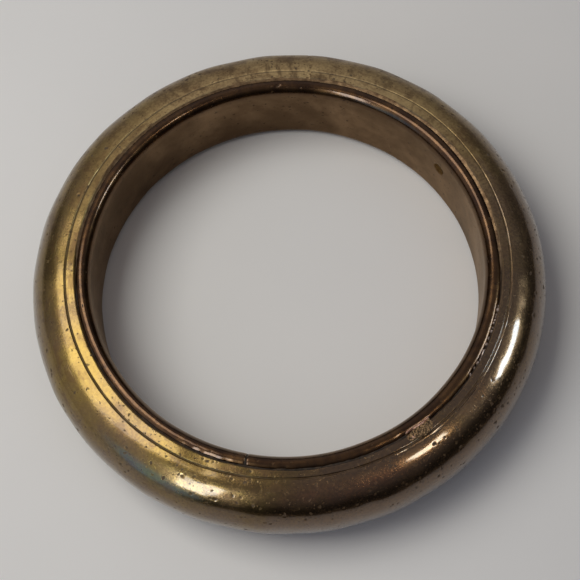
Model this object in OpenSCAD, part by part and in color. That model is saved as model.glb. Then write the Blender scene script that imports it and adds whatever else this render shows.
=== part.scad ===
// Hollow bangle bracelet of thin sheet brass: a domed outer shell soldered round a channel-shaped liner.
// The bangle lies flat on the XY plane, its axis is +Z, and the origin is the centre of its lower face.
// Azimuths are counted from +X towards +Y, and -Y is the side nearest to someone in front.

/* [Overall size] */
// Diameter of the opening that the hand goes through
opening_d = 65; // [56:0.5:80]
// Radial width of the ring, from the opening to the outermost line of the dome
ring_w = 10.7; // [9:0.1:13]
// Height of the bangle as it lies flat
ring_h = 15; // [12:0.1:20]

/* [Outer shell] */
// Thickness of the shell's sheet
shell_t = 0.6; // [0.45:0.05:0.8]
// Width of the flat shoulder, from its inner edge to the scribed groove
shoulder_w = 1.55; // [1.2:0.05:2.2]
// Radius of the round-bottomed scribed groove
groove_r = 0.2; // [0.1:0.02:0.3]
// Width of the soldered joint where the two ends of the shell's strip meet
shell_seam_w = 1.2; // [0.4:0.1:2.4]
// Azimuth of the shell's joint
shell_seam_az = 79.7; // [0:0.1:360]

/* [Inner liner] */
// Thickness of the liner's sheet
liner_t = 0.6; // [0.45:0.05:0.8]
// Radial width of the lip that the liner's edges are turned out to
lip_w = 2.45; // [2:0.05:3.2]
// Outside radius of the bend between wall and lip
bend_r = 1.3; // [0.9:0.05:1.6]
// Width of the butt seam across the liner
liner_seam_w = 0.2; // [0.1:0.02:0.5]
// Azimuth of the liner's seam
liner_seam_az = 254.7; // [0:0.1:360]

/* [Soldered joints] */
// Gap between lip and shoulder that the solder runs into
joint_gap = 0.2; // [0.1:0.02:0.4]
// Radius that both sheets' edges are rounded to beside the gap
edge_r = 0.35; // [0.2:0.05:0.4]
// Radius of the bead of solder under the sheets, inside the hollow
bead_r = 0.55; // [0.4:0.05:0.8]
// How far the solder in the liner's seam lies below both faces of the sheet
seam_recess = 0.08; // [0.04:0.02:0.15]

/* [Repair] */
// Length along the joint of the patch of solder flooded over joint and shoulder
repair_len = 4.6; // [2:0.1:8]
// Depth that the patch reaches into the sheets, past their rounded edges to the solder between them
repair_d = 0.4; // [0.4:0.05:0.5]
// How far the patch laps onto the lip, from the middle of the joint
repair_lap = 0.5; // [0.3:0.05:0.9]
// Sheet left bare between the patch and the groove
repair_land = 0.1; // [0.05:0.05:0.3]
// Azimuth of the middle of the patch
repair_az = 301.6; // [0:0.1:360]

/* [Vent] */
// Diameter of the plugged vent hole in the liner's wall
vent_d = 2.2; // [1:0.1:3.2]
// Height of the vent above the middle of the wall
vent_up = 2.3; // [0:0.1:3]
// Azimuth of the vent
vent_az = 32.2; // [0:0.1:360]
// How far the plug stands into the hollow behind the wall
plug_stand = 0.3; // [0.1:0.05:0.6]

/* [Hidden] */
$fn = 180;

mid_z = ring_h / 2;
bore_r = opening_d / 2;
outer_r = bore_r + ring_w;
lip_r = bore_r + lip_w;
shoulder_r = lip_r + joint_gap;
joint_r = (lip_r + shoulder_r) / 2;
groove_at_r = shoulder_r + shoulder_w;

// One arc runs from groove to groove over the outermost line, so its radius follows from its width and height.
dome_w = outer_r - groove_at_r;
dome_r = (dome_w * dome_w + mid_z * mid_z) / (2 * dome_w);
dome_at_r = outer_r - dome_r;

shell_seam_deg = shell_seam_w / outer_r * 180 / PI;
liner_seam_deg = liner_seam_w / bore_r * 180 / PI;
repair_deg = repair_len / shoulder_r * 180 / PI;
cut = 1;

// A section turned round the axis for sweep degrees, with its middle at azimuth az.
module turned(az, sweep) {
    rotate([0, 0, az - sweep / 2]) rotate_extrude(angle = sweep) children();
}

// The same section at the upper face and, mirrored, at the lower face.
module both_faces() {
    children();
    translate([0, ring_h]) mirror([0, 1]) children();
}

// Outline of the shell: flat shoulders that run into the dome, open towards the axis from radius from_r.
module dome_outline(inset, from_r) {
    intersection() {
        translate([from_r, inset]) square([outer_r - inset - from_r, ring_h - 2 * inset]);
        union() {
            translate([dome_at_r, mid_z]) circle(r = dome_r - inset);
            translate([from_r, 0]) square([dome_at_r - from_r, ring_h]);
        }
    }
}

module shell_section() {
    difference() {
        dome_outline(0, shoulder_r);
        dome_outline(shell_t, shoulder_r - cut);
    }
}

// What rounds off the edge of a sheet that ends at radius r and runs towards side (+1 outwards, -1 inwards).
module edge_rounding(r, side) {
    difference() {
        translate([r + side * edge_r / 2, ring_h - edge_r / 2]) square([edge_r, edge_r], center = true);
        translate([r + side * edge_r, ring_h - edge_r]) circle(r = edge_r);
    }
}

module repair_section(height) {
    inner_r = joint_r - repair_lap;
    translate([inner_r, ring_h - repair_d])
        square([groove_at_r - groove_r - repair_land - inner_r, height]);
}

module repair_pocket() {
    turned(repair_az, repair_deg) repair_section(repair_d + cut);
}

module outer_shell() {
    color("#8c7238") difference() {
        turned(shell_seam_az + 180, 360 - shell_seam_deg) difference() {
            shell_section();
            both_faces() {
                translate([groove_at_r, ring_h]) circle(r = groove_r);
                edge_rounding(shoulder_r, 1);
            }
        }
        repair_pocket();
    }
}

module shell_seam_solder() {
    color("#75603a") turned(shell_seam_az, shell_seam_deg) difference() {
        shell_section();
        both_faces() edge_rounding(shoulder_r, 1);
    }
}

// Filled outline of the liner, its bends rounded to radius r, taken in by inset on every side.
module band_outline(inset, r, to_r) {
    translate([bore_r + inset, bend_r]) square([to_r - bore_r - inset, ring_h - 2 * bend_r]);
    translate([bore_r + bend_r, inset]) square([to_r - bore_r - bend_r, ring_h - 2 * inset]);
    intersection() {
        translate([bore_r, 0]) square([bend_r, ring_h]);
        for (z = [bend_r, ring_h - bend_r])
            translate([bore_r + bend_r, z]) circle(r = r);
    }
}

// Channel that opens outwards: a straight wall and two lips, with round bends between them.
// An inset makes it thinner on every side except the lips' outer edges.
module liner_section(inset) {
    difference() {
        band_outline(inset, bend_r - inset, lip_r);
        band_outline(liner_t - inset, bend_r - liner_t + inset, lip_r + cut);
    }
}

module vent_bore(length) {
    rotate([0, 0, vent_az]) translate([0, 0, mid_z + vent_up]) rotate([0, 90, 0])
        cylinder(d = vent_d, h = length);
}

module inner_liner() {
    color("#6e5438") difference() {
        turned(liner_seam_az + 180, 360 - liner_seam_deg) difference() {
            liner_section(0);
            both_faces() edge_rounding(lip_r, -1);
        }
        repair_pocket();
        vent_bore(bore_r + liner_t + cut);
    }
}

module liner_seam_solder() {
    color("#4a3826") turned(liner_seam_az, liner_seam_deg) difference() {
        liner_section(seam_recess);
        both_faces() edge_rounding(lip_r, -1);
    }
}

// Solder in the gap up to where the sheets' edges start to round, with a bead under both sheets.
module joint_section() {
    sheet_t = max(shell_t, liner_t);
    translate([lip_r, ring_h - sheet_t]) square([joint_gap, sheet_t - edge_r]);
    intersection() {
        translate([joint_r, ring_h - sheet_t]) circle(r = bead_r);
        translate([joint_r - bead_r, ring_h - sheet_t - bead_r]) square([2 * bead_r, bead_r]);
    }
}

module upper_joint_solder() {
    color("#5a4630") difference() {
        rotate_extrude() joint_section();
        repair_pocket();
    }
}

module lower_joint_solder() {
    color("#5a4630") translate([0, 0, ring_h]) mirror([0, 0, 1]) rotate_extrude() joint_section();
}

module repair_solder_patch() {
    color("#a57f5e") turned(repair_az, repair_deg) repair_section(repair_d);
}

module vent_plug() {
    color("#54402c") difference() {
        vent_bore(bore_r + liner_t + plug_stand);
        cylinder(r = bore_r, h = ring_h);
    }
}

outer_shell();
inner_liner();
shell_seam_solder();
liner_seam_solder();
upper_joint_solder();
lower_joint_solder();
repair_solder_patch();
vent_plug();
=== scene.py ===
import math

import bpy
import numpy as np
from mathutils import Matrix, Vector


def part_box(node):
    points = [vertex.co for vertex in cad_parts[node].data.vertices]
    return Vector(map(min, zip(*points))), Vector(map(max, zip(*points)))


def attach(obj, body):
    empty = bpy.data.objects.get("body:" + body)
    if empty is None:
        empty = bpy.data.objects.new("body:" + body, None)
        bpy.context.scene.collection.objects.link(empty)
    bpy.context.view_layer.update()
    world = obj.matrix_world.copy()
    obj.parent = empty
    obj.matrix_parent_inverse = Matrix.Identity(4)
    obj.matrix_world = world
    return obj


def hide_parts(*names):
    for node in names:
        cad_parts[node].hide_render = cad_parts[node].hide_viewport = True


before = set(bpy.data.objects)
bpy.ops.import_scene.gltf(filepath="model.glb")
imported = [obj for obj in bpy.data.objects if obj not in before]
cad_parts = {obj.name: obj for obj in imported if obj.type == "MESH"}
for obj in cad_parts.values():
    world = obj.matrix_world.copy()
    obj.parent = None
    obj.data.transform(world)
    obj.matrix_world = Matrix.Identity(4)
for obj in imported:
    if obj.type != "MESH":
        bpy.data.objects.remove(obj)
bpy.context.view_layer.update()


# ------------------------------------------------------------------------------------------------
# Outer shell. One strip of thin sheet brass, raised into a dome, with a flat shoulder turned in at
# each face and a fine groove scribed where the shoulder meets the dome. Years of wear left smoky
# tarnish, corrosion pits and freckles, and scratches that run mostly round the ring.
# ------------------------------------------------------------------------------------------------
MM = 0.001
SHEET = 0.6
RING_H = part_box("outer_shell")[1].z / MM
MID_Z = RING_H / 2
OUTER_R = max(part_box("outer_shell")[1]) / MM
SHOULDER_R = 35.08
GROOVE_R = 36.7
SHOULDER_SLOPE = math.radians(8.5)
SHELL_EDGE_ROUND = 0.22
SHELL_SEAM_AZ = math.radians(79.7)
SHELL_SEAM_HALF = 0.6 / OUTER_R

# The shoulder slopes on into the dome, which is one arc from groove to groove over the outermost line.
GROOVE_Z = RING_H - (GROOVE_R - SHOULDER_R) * math.tan(SHOULDER_SLOPE)
DOME_RISE = OUTER_R - GROOVE_R
DOME_HALF = GROOVE_Z - MID_Z
DOME_ROUND = (DOME_RISE**2 + DOME_HALF**2) / (2 * DOME_RISE)
DOME_CENTRE_R = OUTER_R - DOME_ROUND
DOME_START = math.acos(DOME_HALF / DOME_ROUND)


class Wire:
    """One socket of a shader tree. Sums on wires add Math nodes, and node() adds any other kind."""

    def __init__(self, tree, socket=None):
        self.tree = tree
        self.socket = socket

    def node(self, kind, settings, sockets, out=0):
        made = self.tree.nodes.new("ShaderNode" + kind)
        for name, value in settings.items():
            setattr(made, name, value)
        for name, value in sockets.items():
            if isinstance(value, Wire):
                self.tree.links.new(value.socket, made.inputs[name])
            else:
                made.inputs[name].default_value = value
        return Wire(self.tree, made.outputs[out])

    def maths(self, operation, *values):
        return self.node("Math", {"operation": operation}, dict(enumerate(values)))

    def __add__(self, other):
        return self.maths("ADD", self, other)

    def __sub__(self, other):
        return self.maths("SUBTRACT", self, other)

    def __rsub__(self, other):
        return self.maths("SUBTRACT", other, self)

    def __mul__(self, other):
        return self.maths("MULTIPLY", self, other)

    __radd__ = __add__
    __rmul__ = __mul__

    def held(self):
        """The same value, kept between 0 and 1."""
        return self.node("Clamp", {}, {"Value": self})

    def over(self, low, high):
        """0 up to low, rising smoothly to 1 at high."""
        settings = {"interpolation_type": "SMOOTHSTEP"}
        return self.node("MapRange", settings, {"Value": self, "From Min": low, "From Max": high})

    def mix(self, without, with_it):
        """One colour where this mask is 0, the other where it is 1."""
        settings = {"data_type": "RGBA", "clamp_factor": True}
        return self.node("Mix", settings, {0: self, 6: without, 7: with_it}, out=2)

    def grain(self, place, scale, detail=4.0, rough=0.55, bend=0.0):
        """Noise of that scale at a place."""
        sockets = {"Vector": place, "Scale": scale, "Detail": detail, "Roughness": rough, "Distortion": bend}
        return self.node("TexNoise", {}, sockets)

    def stretched(self, place, along, across, up=1.0):
        """A place with its axes scaled, for marks that run one way."""
        sockets = {0: place, 1: (along, across, up)}
        return self.node("VectorMath", {"operation": "MULTIPLY"}, sockets)


def finish_of(piece, name, paint):
    """Gives a piece a new material. paint(tools) returns values or wires for the metal's sockets."""
    material = bpy.data.materials.new(name)
    material.use_nodes = True
    tree = material.node_tree
    metal = tree.nodes["Principled BSDF"]
    tools = Wire(tree)
    for socket, value in paint(tools).items():
        if isinstance(value, Wire):
            tree.links.new(value.socket, metal.inputs[socket])
        else:
            metal.inputs[socket].default_value = value
    piece.data.materials.clear()
    piece.data.materials.append(material)


def colour(red, green, blue):
    return (red, green, blue, 1.0)


def marks(tools, name):
    """A per-point value that the piece's mesh carries, such as how deep in a pit a point lies."""
    return tools.node("Attribute", {"attribute_name": name}, {}, out=2)


def ripple(azimuths, across, wave, height, seed):
    """Smooth random waves over a swept face, in mm: what hammering and hand polishing leave."""
    draws = np.random.default_rng(seed)
    lift = np.zeros((len(azimuths), len(across)))
    count = 28
    for _ in range(count):
        heading = draws.uniform(0, math.pi)
        pace = 2 * math.pi / wave * draws.uniform(0.6, 1.6)
        lobes = round(pace * math.cos(heading) * OUTER_R)
        phase = draws.uniform(0, 2 * math.pi)
        lift += np.sin(lobes * azimuths[:, None] + pace * math.sin(heading) * across[None, :] + phase)
    return lift * height / math.sqrt(count / 2)


def smooth(value, low, high):
    """0 up to low, rising smoothly to 1 at high."""
    part = np.clip((value - low) / (high - low), 0, 1)
    return part * part * (3 - 2 * part)


def bump_at(azimuths, degrees, width):
    """A soft hump of 1 round an azimuth, that many degrees wide."""
    turn = np.degrees(azimuths) - degrees
    turn = (turn + 180) % 360 - 180
    return np.exp(-((turn / width) ** 2))


def sink_pits(lift, stain, azimuths, across, reach, pits, seed):
    """Sinks uneven round pits into a swept face. Each is (azimuth, across, radius, depth), in mm."""
    draws = np.random.default_rng(seed)
    for az, place, radius, depth in pits:
        lobes = draws.uniform(-0.22, 0.22, 2)
        turns = draws.uniform(0, 2 * math.pi, 2)
        first, last = np.searchsorted(azimuths, [az - 1.7 * radius / reach, az + 1.7 * radius / reach])
        low, high = np.searchsorted(across, [place - 1.7 * radius, place + 1.7 * radius])
        if first == last or low == high:
            continue
        east = (azimuths[first:last, None] - az) * reach
        north = across[None, low:high] - place
        angle = np.arctan2(north, east)
        edge = 1 + lobes[0] * np.sin(2 * angle + turns[0]) + lobes[1] * np.sin(3 * angle + turns[1])
        fall = 1 - smooth(np.hypot(east, north) / (radius * edge), 0.35, 1.15)
        lift[first:last, low:high] -= depth * fall
        window = stain[first:last, low:high]
        np.maximum(window, fall, out=window)


def swept(name, azimuths, radii, heights, marks_on, closed):
    """A solid swept round the axis. Each azimuth has one loop of section points, inside on the left."""
    turns, steps = radii.shape
    angle = azimuths[:, None]
    points = np.stack([radii * np.cos(angle), radii * np.sin(angle), heights], axis=2) * MM
    index = np.arange(turns * steps).reshape(turns, steps)
    here = index if closed else index[:-1]
    ahead = np.roll(index, -1, axis=0) if closed else index[1:]
    corners = [here, ahead, np.roll(ahead, -1, axis=1), np.roll(here, -1, axis=1)]
    faces = np.stack(corners, axis=2).reshape(-1, 4).tolist()
    if not closed:
        faces += [index[0].tolist(), index[-1][::-1].tolist()]
    return solid(name, points.reshape(-1, 3), faces, marks_on)


def solid(name, points, faces, marks_on):
    """A smooth-shaded mesh object, with its per-point marks."""
    mesh = bpy.data.meshes.new(name)
    mesh.from_pydata(points.tolist(), [], faces)
    mesh.update()
    mesh.shade_smooth()
    mesh.set_sharp_from_angle(angle=math.radians(60))
    for mark, values in marks_on.items():
        values = np.asarray(values, np.float32)
        kind = "FLOAT_VECTOR" if values.size == 3 * len(points) else "FLOAT"
        field = "vector" if kind == "FLOAT_VECTOR" else "value"
        mesh.attributes.new(mark, kind, "POINT").data.foreach_set(field, values.ravel())
    piece = bpy.data.objects.new(name, mesh)
    bpy.context.scene.collection.objects.link(piece)
    return piece


def belongs(piece, node):
    """The piece rides on the bangle's one body and stands for its CAD node."""
    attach(piece, "root")
    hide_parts(node)


def columns(start, end, step, reach):
    """Azimuths from start to end, about step mm apart at radius reach, closer together at both ends."""
    ease = np.array([0, 0.03, 0.07, 0.12, 0.18, 0.25, 0.34]) / reach
    count = round((end - start - 2 * ease[-1]) * reach / step)
    middle = np.linspace(start + ease[-1], end - ease[-1], count + 1)
    return np.concatenate([start + ease[:-1], middle, (end - ease[:-1])[::-1]])


# Distances across the shell's face are counted from the upper groove, outwards, down over the dome.
def shell_skin():
    """Section of the shell's face from its upper edge to its lower edge: r, z, normal and distance."""
    rounding = np.linspace(math.pi, math.pi / 2 - SHOULDER_SLOPE, 7)
    edge_r = SHOULDER_R + SHELL_EDGE_ROUND + SHELL_EDGE_ROUND * np.cos(rounding)
    low = SHELL_EDGE_ROUND * math.sin(rounding[-1])
    edge_z = RING_H - (edge_r[-1] - SHOULDER_R) * math.tan(SHOULDER_SLOPE) - low + SHELL_EDGE_ROUND * np.sin(rounding)
    coarse = np.linspace(edge_r[-1], GROOVE_R - 0.45, 8)[1:]
    flat_r = np.concatenate([coarse, np.linspace(GROOVE_R - 0.4, GROOVE_R, 9)])
    flat_z = GROOVE_Z + (GROOVE_R - flat_r) * math.tan(SHOULDER_SLOPE)
    near = np.arange(0.05, 0.9, 0.05)
    half_arc = DOME_ROUND * (math.pi / 2 - DOME_START)
    far = np.linspace(near[-1], half_arc, 62)[1:]
    arc = DOME_START + np.concatenate([near, far]) / DOME_ROUND
    edge = np.full(2, SHOULDER_R)
    r = np.concatenate([edge, edge_r, flat_r, DOME_CENTRE_R + DOME_ROUND * np.sin(arc)])
    z = np.concatenate([[RING_H - 0.52, RING_H - 0.4], edge_z, flat_z, MID_Z + DOME_ROUND * np.cos(arc)])
    tilt = np.concatenate([[-math.pi / 2] * 2, math.pi / 2 - rounding, 0 * flat_r + SHOULDER_SLOPE, arc])
    run = np.concatenate([[0], np.cumsum(np.hypot(np.diff(r), np.diff(z)))])
    run -= run[8 + len(flat_r)]
    return mirrored_below(r, z, tilt, run)


def mirrored_below(r, z, tilt, run):
    """The upper half of a face, then its mirror image: r, z, outward normal and distance across."""
    back = slice(-2, None, -1)
    return (
        np.concatenate([r, r[back]]),
        np.concatenate([z, RING_H - z[back]]),
        np.concatenate([np.sin(tilt), np.sin(tilt)[back]]),
        np.concatenate([np.cos(tilt), -np.cos(tilt)[back]]),
        np.concatenate([run, 2 * run[-1] - run[back]]),
    )


shell_az = columns(SHELL_SEAM_AZ + SHELL_SEAM_HALF, SHELL_SEAM_AZ + 2 * math.pi - SHELL_SEAM_HALF, 0.19, OUTER_R)
skin_r, skin_z, skin_nr, skin_nz, skin_run = shell_skin()
SHELL_WIDTH = skin_run[-1] + skin_run[0]


def scribed(azimuths, across, place, depth, width, seed):
    """A hand-scribed line: its depth and its course wander a little."""
    course = place + ripple(azimuths, np.zeros(1), 40, 0.05, seed)[:, 0]
    pressure = depth * (1 + ripple(azimuths, np.zeros(1), 6, 0.16, seed + 1)[:, 0])
    gap = (across[None, :] - course[:, None]) / width
    return -pressure[:, None] * np.exp(-np.abs(gap) ** 2.4)


def corroded(az, place):
    """How thickly pits and freckles gather on the shell, from 0 to 1, at an azimuth and distance across."""
    crowd = 0.12 + 0.75 * bump_at(az, 14, 20) * np.exp(-(((place - 7) / 3.0) ** 2))
    crowd = crowd + 0.55 * bump_at(az, -40, 14) * np.exp(-(((place - 4.5) / 3.0) ** 2))
    crowd = crowd + 0.6 * bump_at(az, -112, 14) * np.exp(-(((place + 0.3) / 1.5) ** 2))
    crowd = crowd + 0.45 * bump_at(az, -80, 45) * np.exp(-(((place - 2.5) / 4.0) ** 2))
    crowd = crowd + 0.5 * bump_at(az, -22, 24) * np.exp(-(((place + 0.8) / 0.7) ** 2))
    crowd = crowd + 0.5 * bump_at(az, 82, 12) * np.exp(-(((place - 0.5) / 2.5) ** 2))
    crowd = crowd + 0.35 * bump_at(az, 125, 30) * np.exp(-(((place - 6) / 4.0) ** 2))
    below = np.exp(-(((place - SHELL_WIDTH + 3) / 4.0) ** 2))
    return np.clip(crowd + 0.35 * bump_at(az, -150, 60) * below, 0, 1)


def smoked(az, place):
    """How brown the tarnish has grown on the shell, from 0 to 1. The side the wearer handled is cleaner."""
    brown = 0.3 + 0.65 * bump_at(az, -72, 42) + 0.6 * bump_at(az, -15, 45) - 0.3 * bump_at(az, -152, 28)
    return np.clip(brown + 0.03 * place, 0, 1)


def dust_and_painted_light(az, place):
    """How dull the far side has gone under dust and handling, from 0 to 1. The same mask paints the far side's colour
    lighter, as painted light.
    """
    return np.clip(bump_at(az, 82, 62) * (1.0 - 0.09 * place), 0, 1)


def reddened(az, place):
    """Where the tarnish on the near side has turned copper red, from 0 to 1."""
    return bump_at(az, -84, 20) * np.exp(-(((place - 2.6) / 1.5) ** 2))


def shell_pits(draws):
    """The larger corrosion pits of the shell, gathered where hands and damp left them."""
    pits = []
    while len(pits) < 480:
        az = draws.uniform(SHELL_SEAM_AZ + 0.02, SHELL_SEAM_AZ + 2 * math.pi - 0.02)
        place = draws.uniform(-1.3, SHELL_WIDTH + 1.3)
        if draws.uniform() > corroded(az, place):
            continue
        radius = min(0.13 + 0.045 * draws.gamma(1.2), 0.34)
        pits.append((az, place, radius, radius * draws.uniform(0.12, 0.3)))
    return pits


shell_lift = ripple(shell_az, skin_run, 14, 0.035, 1)
shell_lift += ripple(shell_az, skin_run, 4.5, 0.006, 2)
shell_lift += scribed(shell_az, skin_run, 0.0, 0.17, 0.14, 3) * (1 - 0.6 * bump_at(shell_az, 45, 60)[:, None])
shell_lift += scribed(shell_az, skin_run, SHELL_WIDTH, 0.17, 0.14, 5)
shell_lift += scribed(shell_az, skin_run, 0.42, 0.07, 0.1, 7) * bump_at(shell_az, -45, 14)[:, None]
burr = scribed(shell_az, skin_run, 0.2, -0.028, 0.085, 3)
shell_lift += burr * bump_at(shell_az, -30, 75)[:, None]
# The scribed grooves are coloured darker too, less so on the right.
in_groove = np.exp(-(((skin_run + 0.04) / 0.12) ** 2)) + np.exp(-(((skin_run - SHELL_WIDTH - 0.04) / 0.12) ** 2))
shell_stain_and_shade = 0.8 * in_groove * (1 - 0.35 * bump_at(shell_az, -15, 45)[:, None])
# Rust, and painted shade: the rounded inner edge on the far and right side is darkened so that it catches no
# highlight.
on_rim = 1 - smooth(skin_run, -1.5, -1.3)
shell_stain_and_shade = np.maximum(shell_stain_and_shade, 0.8 * on_rim * bump_at(shell_az, 35, 75)[:, None])
sink_pits(shell_lift, shell_stain_and_shade, shell_az, skin_run, 40.0, shell_pits(np.random.default_rng(11)), 12)


def joint_wander(az):
    """How far the joint runs outside its true circle, in mm, since both sheets were trimmed by hand."""
    return 0.22 * bump_at(az, -38, 24) - 0.27 * bump_at(az, -150, 38) - 0.1 * bump_at(az, 15, 18)


def joint_open(az, seed):
    """How far a sheet's edge stands back from the joint, in mm. The joint gapes on the near side."""
    return 0.09 * bump_at(az, -88, 62) * (1 + ripple(az, np.zeros(1), 3, 0.3, seed)[:, 0])


groove_wander = -0.16 * bump_at(shell_az, -75, 14) - 0.22 * bump_at(shell_az, -100, 14)
groove_wander += 0.16 * bump_at(shell_az, -138, 16) - 0.1 * bump_at(shell_az, 170, 20) + 0.24 * bump_at(shell_az, 45, 18)
on_groove = np.exp(-((skin_run / 2.5) ** 2)) + np.exp(-(((skin_run - SHELL_WIDTH) / 2.5) ** 2))
on_edge = 1 - smooth(skin_run, -1.9, -0.7) + smooth(skin_run, SHELL_WIDTH + 0.7, SHELL_WIDTH + 1.9)
shell_shift = groove_wander[:, None] * on_groove * (1 - on_edge) + (joint_wander(shell_az) + joint_open(shell_az, 8))[:, None] * on_edge


def shell_inside():
    """Section of the shell's hidden inner face, from the upper edge to the lower edge."""
    lower_dome = DOME_ROUND - SHEET
    start = math.acos((DOME_HALF - SHEET) / lower_dome)
    arc = np.linspace(start, math.pi - start, 26)
    r = np.concatenate([[SHOULDER_R], DOME_CENTRE_R + lower_dome * np.sin(arc), [SHOULDER_R]])
    z = np.concatenate([[RING_H - SHEET], MID_Z + lower_dome * np.cos(arc), [SHEET]])
    return r, z


def around_section(azimuths, face_r, face_z, back_r, back_z):
    """Loops that run up the face and back down behind it, for every azimuth."""
    back_r = np.broadcast_to(back_r, (len(azimuths), len(back_r)))
    back_z = np.broadcast_to(back_z, (len(azimuths), len(back_z)))
    return np.concatenate([face_r[:, ::-1], back_r], axis=1), np.concatenate([face_z[:, ::-1], back_z], axis=1)


def around_marks(values, behind, fill=0.0):
    """Marks of the face in the loop's order, with a plain value for the points behind it."""
    return np.concatenate([values[:, ::-1], np.full((len(values), behind), fill)], axis=1)


inside_r, inside_z = shell_inside()
face_r = skin_r + skin_nr * shell_lift + shell_shift
face_z = skin_z + skin_nz * shell_lift
loop_r, loop_z = around_section(shell_az, face_r, face_z, inside_r, inside_z)
lay = np.zeros(loop_r.shape + (3,))
lay[:, :, 0] = (shell_az * OUTER_R * MM)[:, None]
lay[:, :, 1] = around_marks(np.broadcast_to(skin_run * MM, shell_lift.shape), len(inside_r))
# On the shell, pitted also carries the darker grooves and the painted shade on the inner edge.
shell_marks = {"lay": lay, "pitted": around_marks(shell_stain_and_shade, len(inside_r))}
for mark, grown in {"corroded": corroded, "smoked": smoked, "dust_and_painted_light": dust_and_painted_light, "reddened": reddened}.items():
    shell_marks[mark] = around_marks(grown(shell_az[:, None], skin_run[None, :]), len(inside_r))
shell = swept("outer_shell_brass", shell_az, loop_r, loop_z, shell_marks, closed=False)
belongs(shell, "outer_shell")


def specks(tools, place, scale, crowd):
    """Uneven dark specks, one to a cell at most. crowd is the share of cells that hold one."""
    wander = tools.node("TexNoise", {}, {"Vector": place, "Scale": scale * 1.7, "Detail": 2.0}, out=1)
    shaken = tools.node("VectorMath", {"operation": "MULTIPLY_ADD"}, {0: wander, 1: (0.9 / scale,) * 3, 2: place})
    near = tools.node("TexVoronoi", {}, {"Vector": shaken, "Scale": scale})
    dice = tools.node("TexVoronoi", {}, {"Vector": shaken, "Scale": scale}, out=1)
    chance = tools.node("SeparateColor", {}, {"Color": dice})
    size = tools.node("SeparateColor", {}, {"Color": dice}, out=1)
    size = size * size * size
    there = (chance + crowd).over(1.0, 1.05)
    return there * ((0.2 + (size * 0.34) - near) * 6).held()


def shell_finish(tools):
    place = tools.node("TexCoord", {}, {}, out=3)
    run = tools.node("Attribute", {"attribute_name": "lay"}, {}, out=1)
    pitted = marks(tools, "pitted")
    crowd = marks(tools, "corroded")
    dull_and_painted_light = marks(tools, "dust_and_painted_light")
    patchy = tools.grain(place, 150, detail=5, rough=0.6)
    freckles = specks(tools, place, 1250, (crowd * patchy * 1.2) + 0.02)
    dust = specks(tools, place, 2500, (crowd * patchy * 1.6) + (dull_and_painted_light * patchy * 0.4) + (patchy * 0.25))
    smoke = tools.grain(place, 55, detail=7, rough=0.62, bend=0.6)
    rust = tools.grain(tools.stretched(run, 160, 420), 1.0, detail=6, rough=0.65).over(0.49, 0.64)
    mottle = tools.grain(place, 420, detail=9, rough=0.7)
    streaks = tools.grain(tools.stretched(run, 70, 2600), 1.0, detail=6, rough=0.7)
    hairs = tools.grain(tools.stretched(run, 160, 7000), 1.0, detail=2, rough=0.5).over(0.68, 0.74)
    haze = marks(tools, "smoked") + (smoke * 2.0) - 1.0
    smoky = haze.held()
    brass = smoky.mix(colour(0.275, 0.192, 0.054), colour(0.15, 0.085, 0.038))
    # Painted light: the far side's brass is painted lighter, standing in for light it would reflect. Its dullness is
    # dust.
    brass = (dull_and_painted_light * 0.9).mix(brass, colour(0.50, 0.36, 0.18))
    brass = (marks(tools, "reddened") * smoke.over(0.3, 0.6)).mix(brass, colour(0.26, 0.105, 0.045))
    metal = (mottle.over(0.40, 0.70) * ((smoky * 0.35) + 0.3)).mix(brass, colour(0.15, 0.085, 0.042))
    metal = (rust * 0.65).mix(metal, colour(0.14, 0.08, 0.036))
    blotches = tools.grain(tools.stretched(run, 420, 230), 1.0, detail=7, rough=0.68).over(0.48, 0.62)
    metal = (blotches * ((dull_and_painted_light * 0.6) + 0.12)).mix(metal, colour(0.10, 0.058, 0.028))
    gritty = tools.grain(place, 2400, detail=3, rough=0.6).over(0.40, 0.62)
    metal = (gritty * ((smoky * 0.4) + 0.12)).mix(metal, colour(0.07, 0.038, 0.02))
    spotted = (freckles * 0.85).mix((dust * 0.7).mix(metal, colour(0.07, 0.04, 0.02)), colour(0.04, 0.022, 0.012))
    scored = (hairs * 0.3).mix(spotted, colour(0.60, 0.48, 0.28))
    # Pits darken here, and so do the grooves and the painted shade on the shell's inner edge.
    dirty = (pitted * 0.95).held().mix(scored, colour(0.03, 0.018, 0.01))
    spots = freckles.maths("MAXIMUM", freckles, pitted)
    gloss = 0.12 + (mottle * 0.12) + (streaks * 0.08) + (spots * 0.4) + (dust * 0.15) + (dull_and_painted_light * 0.27) + (rust * 0.08)
    relief = (mottle * 0.3) - (gritty * 0.3) + (streaks * 0.22) - (hairs * 0.25) - (freckles * 1.2) - (dust * 0.5)
    bump = tools.node("Bump", {}, {"Strength": 0.4, "Distance": 0.00003, "Height": relief})
    return {
        "Base Color": dirty,
        "Metallic": 1 - (spots * 0.6) - (dull_and_painted_light * 0.25),
        "Roughness": gloss.held(),
        "Coat Weight": ((smoky * 0.8) + 0.1 - spots - dull_and_painted_light).held(),
        "Coat Roughness": 0.1,
        "Coat IOR": 1.7,
        "Normal": bump,
    }


finish_of(shell, "smoky_brass", shell_finish)


# ------------------------------------------------------------------------------------------------
# Inner liner. A band of sheet brass bent into a shallow channel: a straight wall in the opening and
# two lips turned out over soft bends to meet the shell's shoulders. It is duller and browner than
# the shell, reddish on the lips, because hands and polish hardly reached it.
# ------------------------------------------------------------------------------------------------
BORE_R = 32.5
LIP_R = 34.92
LIP_TOP_R = 33.95
LIP_OUTER_ROUND = 1.4
LIP_CROWN_ROUND = 1.0
CROWN_TURN = math.radians(40)
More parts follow.
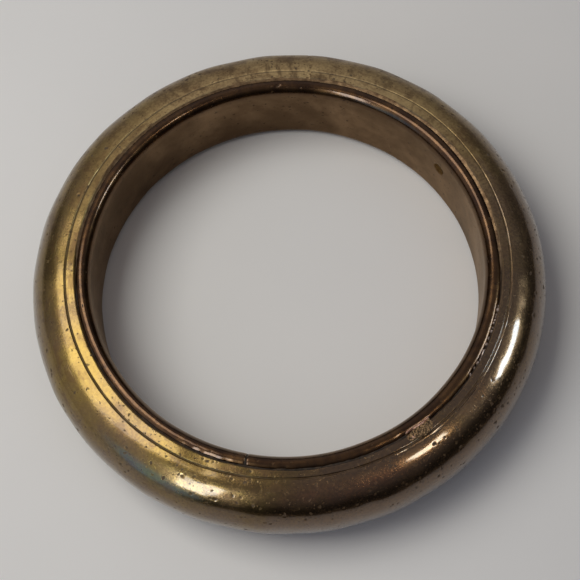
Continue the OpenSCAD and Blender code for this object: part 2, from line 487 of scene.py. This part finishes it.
# The bend is tight at the crown and slackens down the wall, so the slack round takes up what is left.
FLARE_ROUND = (LIP_TOP_R - BORE_R - LIP_CROWN_ROUND * math.sin(CROWN_TURN)) / (1 - math.sin(CROWN_TURN))
FLARE_R = BORE_R + FLARE_ROUND
FLARE_Z = RING_H - LIP_CROWN_ROUND + (LIP_CROWN_ROUND - FLARE_ROUND) * math.cos(CROWN_TURN)
LINER_SEAM_AZ = math.radians(254.7)
LINER_SEAM_HALF = 0.12 / BORE_R
VENT_AZ = math.radians(32.2)
VENT_Z = MID_Z + 2.3
VENT_ROUND = 1.1


def liner_skin():
    """Section of the liner's face from its upper edge, over the lip and down the wall, to the lower edge."""
    lean = math.asin((LIP_R - LIP_TOP_R) / LIP_OUTER_ROUND)
    outer = np.linspace(lean, 0, 14)
    crown = np.linspace(0, -CROWN_TURN, 11)[1:]
    flare = np.linspace(-CROWN_TURN, -math.pi / 2, 16)[1:]
    wall_z = np.linspace(FLARE_Z, MID_Z, 32)[1:]
    outer_r = LIP_TOP_R + LIP_OUTER_ROUND * np.sin(outer)
    outer_z = RING_H - LIP_OUTER_ROUND + LIP_OUTER_ROUND * np.cos(outer)
    crown_r = LIP_TOP_R + LIP_CROWN_ROUND * np.sin(crown)
    crown_z = RING_H - LIP_CROWN_ROUND + LIP_CROWN_ROUND * np.cos(crown)
    flare_r = FLARE_R + FLARE_ROUND * np.sin(flare)
    flare_z = FLARE_Z + FLARE_ROUND * np.cos(flare)
    inner = np.concatenate([crown, flare])
    r = np.concatenate([[LIP_R + 0.02], outer_r, crown_r, flare_r, 0 * wall_z + BORE_R])
    z = np.concatenate([[RING_H - 0.52], outer_z, crown_z, flare_z, wall_z])
    tilt = np.concatenate([[math.pi / 2], outer, inner, 0 * wall_z - math.pi / 2])
    run = np.concatenate([[0], np.cumsum(np.hypot(np.diff(r), np.diff(z)))])
    return mirrored_below(r, z, tilt, run)


liner_az = columns(LINER_SEAM_AZ + LINER_SEAM_HALF, LINER_SEAM_AZ + 2 * math.pi - LINER_SEAM_HALF, 0.19, BORE_R)
band_r, band_z, band_nr, band_nz, band_run = liner_skin()
LINER_WIDTH = band_run[-1]


def liner_pits(draws):
    """Corrosion pits of the liner: small, and thickest on the lips."""
    pits = []
    while len(pits) < 520:
        az = draws.uniform(LINER_SEAM_AZ + 0.02, LINER_SEAM_AZ + 2 * math.pi - 0.02)
        place = draws.uniform(0.6, LINER_WIDTH - 0.6)
        on_wall = 4.0 < place < LINER_WIDTH - 4.0
        if draws.uniform() > (0.25 if on_wall else 0.8):
            continue
        radius = min(0.08 + 0.04 * draws.gamma(1.1), 0.3)
        pits.append((az, place, radius, radius * draws.uniform(0.12, 0.3)))
    return pits


liner_lift = ripple(liner_az, band_run, 14, 0.022, 21)
liner_stain = np.zeros_like(liner_lift)
sink_pits(liner_lift, liner_stain, liner_az, band_run, 33.5, liner_pits(np.random.default_rng(23)), 24)
vent_turn = (liner_az - VENT_AZ + math.pi) % (2 * math.pi) - math.pi
vent_off = np.hypot(vent_turn[:, None] * BORE_R, band_z[None, :] - VENT_Z)
liner_lift -= 0.16 * (1 - smooth(vent_off, VENT_ROUND - 0.05, VENT_ROUND + 0.15)) * (band_nr < -0.99)
seam_gap = np.minimum(liner_az - liner_az[0], liner_az[-1] - liner_az) * BORE_R
liner_lift -= (0.10 * np.exp(-seam_gap / 0.09))[:, None]

behind_r = np.array([LIP_R, LIP_TOP_R, BORE_R + SHEET + 0.25, BORE_R + SHEET])
behind_z = np.array([RING_H - 2 * SHEET, RING_H - 2 * SHEET, RING_H - 2 * SHEET - 0.2, FLARE_Z])
behind_r = np.concatenate([behind_r, behind_r[::-1]])
behind_z = np.concatenate([behind_z, RING_H - behind_z[::-1]])
on_lip = 1 - smooth(np.minimum(band_run, LINER_WIDTH - band_run), 0.5, 2.2)
lip_shift = joint_wander(liner_az) - joint_open(liner_az, 25)
face_r = band_r + band_nr * liner_lift + lip_shift[:, None] * on_lip
face_z = band_z + band_nz * liner_lift
count_az = len(liner_az)
hidden_r = behind_r[::-1] + lip_shift[:, None] * (behind_r[::-1] > LIP_TOP_R + 0.1)
loop_r = np.concatenate([face_r, hidden_r], axis=1)
loop_z = np.concatenate([face_z, np.broadcast_to(behind_z[::-1], (count_az, len(behind_z)))], axis=1)
lay = np.zeros(loop_r.shape + (3,))
lay[:, :, 0] = (liner_az * BORE_R * MM)[:, None]
lay[:, : len(band_run), 1] = band_run * MM
stain = np.concatenate([liner_stain, np.zeros((count_az, len(behind_r)))], axis=1)
liner = swept("inner_liner_brass", liner_az, loop_r, loop_z, {"lay": lay, "pitted": stain}, closed=False)
belongs(liner, "inner_liner")


def liner_finish(tools):
    place = tools.node("TexCoord", {}, {}, out=3)
    run = tools.node("Attribute", {"attribute_name": "lay"}, {}, out=1)
    across = tools.node("SeparateXYZ", {}, {"Vector": run}, out=1)
    pitted = marks(tools, "pitted")
    lip = 1 - across.over(0.0022, 0.0042)
    smoke = tools.grain(place, 70, detail=6, rough=0.6, bend=0.3)
    mottle = tools.grain(place, 300, detail=8, rough=0.62)
    freckle = specks(tools, place, 1900, 0.22)
    streaks = tools.grain(tools.stretched(run, 900, 120), 1.0, detail=4, rough=0.6)
    wall = smoke.over(0.35, 0.65).mix(colour(0.11, 0.064, 0.033), colour(0.24, 0.152, 0.085))
    wall = (mottle.over(0.42, 0.68) * 0.5).mix(wall, colour(0.09, 0.05, 0.026))
    red = mottle.over(0.3, 0.7).mix(colour(0.05, 0.023, 0.010), colour(0.125, 0.064, 0.025))
    red = (streaks.over(0.45, 0.62) * 0.5).mix(red, colour(0.045, 0.022, 0.012))
    band = lip.mix(wall, red)
    spotted = (freckle * 0.7).mix(band, colour(0.03, 0.017, 0.010))
    dirty = (pitted * 0.9).held().mix(spotted, colour(0.03, 0.018, 0.01))
    gloss = 0.26 - (lip * 0.10) + (mottle * 0.12) + (streaks * 0.05) + (pitted * 0.3)
    relief = (mottle * 0.5) + (streaks * 0.3) - (freckle * 0.7)
    bump = tools.node("Bump", {}, {"Strength": 0.3, "Distance": 0.00003, "Height": relief})
    return {
        "Base Color": dirty,
        "Metallic": 1 - (pitted * 0.6),
        "Roughness": gloss.held(),
        "Specular Tint": colour(0.9, 0.82, 0.72),
        "Coat Weight": (lip * 0.45) - (pitted * 0.4),
        "Coat Roughness": 0.12,
        "Normal": bump,
    }


finish_of(liner, "dull_brown_brass", liner_finish)


# ------------------------------------------------------------------------------------------------
# Joint solder. Brazing solder run into the gap between lip and shoulder all the way round, at both
# faces, with a bead under the sheets. It is dark, uneven and pitted, and sinks well below the face.
# ------------------------------------------------------------------------------------------------
JOINT_R = 35.05
JOINT_TOP = np.linspace(-0.33, 0.33, 11)
BEAD = 0.55


def joint_solder(name, node, upper, seed):
    """The solder sinks into a dark crack on the near side, and fills the joint on the far side."""
    az = np.linspace(0, 2 * math.pi, 1400, endpoint=False)
    full = 1 - smooth(np.abs((np.degrees(az) - 85 + 180) % 360 - 180), 78, 100)[:, None]
    fillet = 0.045 + 0.22 * ((0.33 - JOINT_TOP[None, :]) / 0.66) ** 1.5 + ripple(az, JOINT_TOP, 2.5, 0.012, seed + 2)
    level = 0.45 + ripple(az, JOINT_TOP, 5, 0.04, seed) + ripple(az, JOINT_TOP, 1.3, 0.02, seed + 1)
    level = np.maximum(level * (1 - full) + fillet * full, 0.035)
    shine = np.zeros_like(level)
    if upper:
        draws = np.random.default_rng(seed + 3)
        for _ in range(38):
            where = math.radians(draws.uniform(-39, -18))
            off = draws.uniform(-0.26, 0.0)
            radius = draws.uniform(0.13, 0.27)
            east = ((az - where + math.pi) % (2 * math.pi) - math.pi)[:, None] * JOINT_R
            fall = 1 - smooth(np.hypot(east, JOINT_TOP[None, :] - off) / radius, 0.2, 1.0)
            level = level * (1 - fall) + (0.08 + 0.2 * off) * fall
            shine = np.maximum(shine, fall)
    bead = np.radians(np.linspace(0, -180, 9))
    top_r = JOINT_R + JOINT_TOP[::-1] + joint_wander(az)[:, None]
    top_z = RING_H - np.maximum(level, 0.015)[:, ::-1]
    under_r = JOINT_R + BEAD * np.cos(bead[::-1]) + joint_wander(az)[:, None]
    under_z = np.broadcast_to(RING_H - SHEET + BEAD * np.sin(bead[::-1]), (len(az), 9))
    loop_r = np.concatenate([top_r, under_r], axis=1)
    loop_z = np.concatenate([top_z, under_z], axis=1)
    bright = np.concatenate([shine[:, ::-1], np.zeros((len(az), 9))], axis=1)
    filled = np.broadcast_to(full, loop_r.shape)
    if not upper:
        loop_r = loop_r[:, ::-1]
        loop_z = RING_H - loop_z[:, ::-1]
    piece = swept(name, az, loop_r, loop_z, {"beaded": bright, "filled": filled}, closed=True)
    belongs(piece, node)
    return piece


def joint_finish(tools):
    place = tools.node("TexCoord", {}, {}, out=3)
    lumps = tools.grain(place, 900, detail=6, rough=0.7)
    grit = tools.grain(place, 4200, detail=4, rough=0.6)
    beaded = marks(tools, "beaded")
    body = lumps.over(0.4, 0.7).mix(colour(0.014, 0.009, 0.006), colour(0.05, 0.03, 0.017))
    body = marks(tools, "filled").mix(body, lumps.over(0.3, 0.7).mix(colour(0.07, 0.04, 0.022), colour(0.2, 0.13, 0.07)))
    body = (beaded * 0.9).mix(body, grit.over(0.35, 0.6).mix(colour(0.30, 0.19, 0.14), colour(0.85, 0.68, 0.6)))
    relief = lumps + (grit * 0.5)
    bump = tools.node("Bump", {}, {"Strength": 0.6, "Distance": 0.00006, "Height": relief})
    return {
        "Base Color": body,
        "Metallic": ((marks(tools, "filled") * 0.8) + beaded).held(),
        "Roughness": (0.75 - (marks(tools, "filled") * 0.25) - (lumps * 0.2) - (beaded * 0.3)).held(),
        "Specular IOR Level": 0.25,
        "Normal": bump,
    }


upper_joint = joint_solder("upper_joint_solder_run", "upper_joint_solder", True, 31)
lower_joint = joint_solder("lower_joint_solder_run", "lower_joint_solder", False, 35)
finish_of(upper_joint, "dark_solder", joint_finish)
finish_of(lower_joint, "dark_solder_below", joint_finish)


# ------------------------------------------------------------------------------------------------
# Shell seam. The two ends of the shell's strip were butted and brazed. The solder was filed down by
# hand, so it stands a little proud here and sinks a little there, and it breaks the scribed grooves.
# ------------------------------------------------------------------------------------------------
def shell_seam():
    half = 1.05
    az = SHELL_SEAM_AZ + np.linspace(-half, half, 43) / OUTER_R
    off = np.abs(np.linspace(-half, half, 43))
    edge = 0.78 + ripple(skin_run / OUTER_R, np.zeros(1), 2.5, 0.06, 41)[:, 0]
    core = 1 - smooth(off[:, None] / edge[None, :], 0.85, 1.3)
    lift = 0.0 + ripple(az, skin_run, 2.0, 0.02, 42) + ripple(az, skin_run, 0.9, 0.01, 43)
    lift = lift * core - 0.22 * (1 - core)
    wander = joint_wander(az)[:, None] * on_edge
    seam_r, seam_z = around_section(az, skin_r + skin_nr * lift + wander, skin_z + skin_nz * lift, inside_r, inside_z)
    run = np.zeros(seam_r.shape + (3,))
    run[:, :, 0] = (az * OUTER_R * MM)[:, None]
    run[:, :, 1] = around_marks(np.broadcast_to(skin_run * MM, lift.shape), len(inside_r))
    seam_marks = {"lay": run, "corroded": np.full(seam_r.shape, 0.8)}
    for mark, grown in {"smoked": smoked, "dust_and_painted_light": dust_and_painted_light}.items():
        seam_marks[mark] = around_marks(grown(az[:, None], skin_run[None, :]), len(inside_r))
    piece = swept("shell_seam_solder_run", az, seam_r, seam_z, seam_marks, closed=False)
    belongs(piece, "shell_seam_solder")
    return piece


seam = shell_seam()
finish_of(seam, "filed_seam_solder", shell_finish)


# ------------------------------------------------------------------------------------------------
# Liner seam. The liner's ends meet in a butt joint as fine as a hair. Its solder shrank below both
# faces, so it reads as a dark slit across lip and wall.
# ------------------------------------------------------------------------------------------------
def liner_seam():
    az = LINER_SEAM_AZ + np.linspace(-0.2, 0.2, 9) / BORE_R
    lift = -0.12 + ripple(az, band_run, 1.2, 0.02, 51)
    count = len(az)
    seam_r = np.concatenate([band_r + band_nr * lift, np.broadcast_to(behind_r[::-1], (count, len(behind_r)))], axis=1)
    seam_z = np.concatenate([band_z + band_nz * lift, np.broadcast_to(behind_z[::-1], (count, len(behind_z)))], axis=1)
    piece = swept("liner_seam_solder_run", az, seam_r, seam_z, {}, closed=False)
    belongs(piece, "liner_seam_solder")
    return piece


slit = liner_seam()
finish_of(slit, "dark_seam_solder", joint_finish)


# ------------------------------------------------------------------------------------------------
# Repair patch. A short stretch of the joint was opened and flooded with a pinker solder, which was
# left granular over joint and shoulder, with a brighter rim.
# ------------------------------------------------------------------------------------------------
REPAIR_AZ = math.radians(301.6)


def repair_patch():
    """A granular flood over the shoulder, with a smooth ridge where it froze against the lip."""
    along = np.linspace(-2.9, 2.7, 113)
    across = np.linspace(-0.85, 1.65, 51)
    az = REPAIR_AZ + along / SHOULDER_R
    edge = 1 + ripple(az, across, 1.6, 0.12, 61)
    oval = np.hypot((along[:, None] + 0.15) / 2.35, (across[None, :] - 0.62) / 0.98)
    inside = 1 - smooth(oval * edge, 0.86, 1.12)
    lift = 0.0 + ripple(az, across, 0.55, 0.03, 62) + ripple(az, across, 0.3, 0.02, 63)
    course = -0.36 + 0.09 * np.sin(1.5 * along + 0.6)
    taper = 1 - smooth(np.abs(along), 2.0, 2.8)
    ridge = np.exp(-(((across[None, :] - course[:, None]) / 0.2) ** 2)) * taper[:, None]
    drop = np.exp(-((np.hypot((along[:, None] + 1.8) * 0.7, across[None, :] - 0.8) / 0.3) ** 2))
    level = np.maximum((lift + 0.05 * drop) * inside - 0.5 * (1 - inside), 0.56 * ridge - 0.5)
    rim = np.maximum(ridge, 0.55 * drop)
    radii = np.broadcast_to(JOINT_R + across, level.shape)
    loop_r = np.concatenate([radii[:, ::-1], radii[:, :1], radii[:, -1:]], axis=1)
    loop_z = np.concatenate([RING_H + level[:, ::-1], 0 * level[:, :1] + RING_H - 0.58, 0 * level[:, :1] + RING_H - 0.58], axis=1)
    bright = np.concatenate([rim[:, ::-1], 0 * rim[:, :2]], axis=1)
    piece = swept("repair_solder_flood", az, loop_r, loop_z, {"rim": bright}, closed=False)
    belongs(piece, "repair_solder_patch")
    return piece


def repair_finish(tools):
    place = tools.node("TexCoord", {}, {}, out=3)
    rim = marks(tools, "rim")
    grains = tools.grain(place, 3400, detail=5, rough=0.7)
    body = grains.over(0.40, 0.66).mix(colour(0.02, 0.012, 0.007), colour(0.40, 0.25, 0.13))
    body = rim.over(0.25, 0.7).mix(body, colour(0.58, 0.35, 0.27))
    bump = tools.node("Bump", {}, {"Strength": 0.8, "Distance": 0.00008, "Height": grains})
    return {
        "Base Color": body,
        "Metallic": 0.85,
        "Roughness": (0.4 + (grains * 0.2) - (rim * 0.1)).held(),
        "Normal": bump,
    }


patch = repair_patch()
finish_of(patch, "pink_repair_solder", repair_finish)


# ------------------------------------------------------------------------------------------------
# Vent plug. A closed hollow needs a hole while it is brazed, or the hot air bursts the joint. The
# hole in the liner's wall was then filled with a drop of solder, dressed flush and now dark.
# ------------------------------------------------------------------------------------------------
def vent_plug():
    rings = np.linspace(0, 1, 14)[1:] * VENT_ROUND
    spokes = np.linspace(0, 2 * math.pi, 56, endpoint=False)
    draws = np.random.default_rng(71)
    waves = draws.uniform(0, 2 * math.pi, 3)
    away = 0.02 + 0.05 * (rings / VENT_ROUND)[:, None] ** 4
    away = away + 0.015 * np.sin(2 * spokes + waves[0]) * (rings / VENT_ROUND)[:, None]
    away = away + 0.01 * np.sin(5 * spokes + waves[1] + 4 * rings[:, None])
    side = rings[:, None] * np.cos(spokes)
    up = rings[:, None] * np.sin(spokes)
    out = np.sqrt(BORE_R**2 - side**2) - away + 0.09
    face = np.stack([out, side, VENT_Z + up], axis=2).reshape(-1, 3)
    back = face[-56:] + np.array([0.75, 0, 0])
    points = np.concatenate([face, back, [[BORE_R + 0.07, 0, VENT_Z]], [[BORE_R + 0.8, 0, VENT_Z]]])
    turn = Matrix.Rotation(VENT_AZ, 3, "Z")
    points = points @ np.array(turn).T * MM
    faces = []
    last = len(rings) * 56
    for spoke in range(56):
        after = (spoke + 1) % 56
        faces.append([last + 56, after, spoke])
        for ring in range(len(rings)):
            base = ring * 56
            faces.append([base + spoke, base + after, base + 56 + after, base + 56 + spoke])
        faces.append([last + spoke, last + after, last + 57])
    piece = solid("vent_plug_solder", points, faces, {})
    belongs(piece, "vent_plug")
    return piece


def plug_finish(tools):
    place = tools.node("TexCoord", {}, {}, out=3)
    grit = tools.grain(place, 3000, detail=4, rough=0.6)
    body = grit.over(0.35, 0.65).mix(colour(0.05, 0.025, 0.011), colour(0.13, 0.075, 0.03))
    bump = tools.node("Bump", {}, {"Strength": 0.5, "Distance": 0.00005, "Height": grit})
    return {
        "Base Color": body,
        "Metallic": 1.0,
        "Specular Tint": colour(0.8, 0.66, 0.5),
        "Roughness": (0.36 + (grit * 0.2)).held(),
        "Normal": bump,
    }


plug = vent_plug()
finish_of(plug, "plug_solder", plug_finish)


# ------------------------------------------------------------------------------------------------
# Table and light. A plain pale table, a broad warm window on the left, a dim far wall, and three
# small lamps, so that the metal has something to reflect.
# ------------------------------------------------------------------------------------------------
bpy.ops.mesh.primitive_grid_add(x_subdivisions=8, y_subdivisions=8, size=6.0, location=(0, 0, 0))
table = bpy.context.object
table.name = "table"


def table_finish(tools):
    place = tools.node("TexCoord", {}, {}, out=3)
    stain = tools.grain(place, 9, detail=5, rough=0.55)
    body = stain.over(0.3, 0.7).mix(colour(0.85, 0.86, 0.88), colour(0.89, 0.90, 0.92))
    return {"Base Color": body, "Roughness": 0.6, "Specular IOR Level": 0.3}


finish_of(table, "pale_table", table_finish)


bangle = bpy.data.collections.new("bangle")
for piece in (shell, liner, upper_joint, lower_joint, seam, slit, patch, plug):
    bangle.objects.link(piece)


def lamp(name, azimuth, elevation, wide, tall, radiance, tint, everywhere=False):
    """A soft rectangular lamp in a direction, all angles in degrees. Most lamps light the bangle alone."""
    distance = 0.4
    light = bpy.data.lights.new(name, "AREA")
    light.shape = "RECTANGLE"
    light.size = 2 * distance * math.tan(math.radians(wide / 2))
    light.size_y = 2 * distance * math.tan(math.radians(tall / 2))
    light.energy = radiance * math.pi * light.size * light.size_y
    light.color = tint
    holder = bpy.data.objects.new(name, light)
    turn, rise = math.radians(azimuth), math.radians(elevation)
    aim = Vector((math.cos(turn) * math.cos(rise), math.sin(turn) * math.cos(rise), math.sin(rise)))
    holder.location = aim * distance
    holder.rotation_euler = aim.to_track_quat("Z", "Y").to_euler()
    bpy.context.scene.collection.objects.link(holder)
    if not everywhere:
        holder.light_linking.receiver_collection = bangle


lamp("window", 167, 59, 38, 35, 3.5, (1.0, 0.96, 0.86), everywhere=True)
lamp("far_lamp", 98, 34, 80, 46, 0.20, (1.0, 0.95, 0.97))
lamp("right_lamp", -2, 39, 14, 10, 15.0, (0.72, 0.88, 1.0))
lamp("left_lamp", -126, 36, 9, 26, 11.0, (0.85, 0.95, 1.0))
lamp("warm_lamp", -39, 56, 5, 9, 15.0, (1.0, 0.9, 0.7))

world = bpy.data.worlds.new("room")
bpy.context.scene.world = world
world.use_nodes = True
air = Wire(world.node_tree)
heading = air.node("TexCoord", {}, {}, out=0)


def facing(azimuth, elevation):
    """1 towards a direction of the room and less to its sides."""
    turn, rise = math.radians(azimuth), math.radians(elevation)
    aim = (math.cos(turn) * math.cos(rise), math.sin(turn) * math.cos(rise), math.sin(rise))
    return air.node("VectorMath", {"operation": "DOT_PRODUCT"}, {0: heading, 1: aim}, out=1).held()


far_wall = facing(100, 32)
left_wall = facing(-166, 24).over(0.72, 0.98)
overhead = facing(-60, 84).over(0.35, 1.0)
bluish = facing(-140, 12).over(0.95, 0.99)
glow = 0.02 + (far_wall * far_wall * 0.11) + (left_wall * 0.55) + (overhead * 0.19)
room = bluish.mix(glow.mix(colour(0, 0, 0), colour(1.0, 0.95, 0.97)), colour(0.4, 0.7, 1.15))
backdrop = world.node_tree.nodes["Background"]
world.node_tree.links.new(room.socket, backdrop.inputs["Color"])
bpy.context.scene.view_settings.view_transform = "Standard"


# ------------------------------------------------------------------------------------------------
# Camera. It looks down on the near side from about arm's length, a little rolled.
# ------------------------------------------------------------------------------------------------
CAMERA_AT = Vector((0.136, -90.633, 217.134)) * MM
LOOKS_AT = Vector((0.136, -1.352, 6.290)) * MM
ROLL = math.radians(-4.95)

camera_data = bpy.data.cameras.new("camera")
camera_data.sensor_width = 36.0
camera_data.angle = math.radians(24.2475)
camera_data.clip_start = 0.01
camera = bpy.data.objects.new("camera", camera_data)
bpy.context.scene.collection.objects.link(camera)
ahead = (LOOKS_AT - CAMERA_AT).normalized()
side = ahead.cross(Vector((0, 0, 1))).normalized()
top = side.cross(ahead)
right = math.cos(ROLL) * side + math.sin(ROLL) * top
upward = math.cos(ROLL) * top - math.sin(ROLL) * side
camera.matrix_world = Matrix.Translation(CAMERA_AT) @ Matrix((right, upward, -ahead)).transposed().to_4x4()
bpy.context.scene.camera = camera
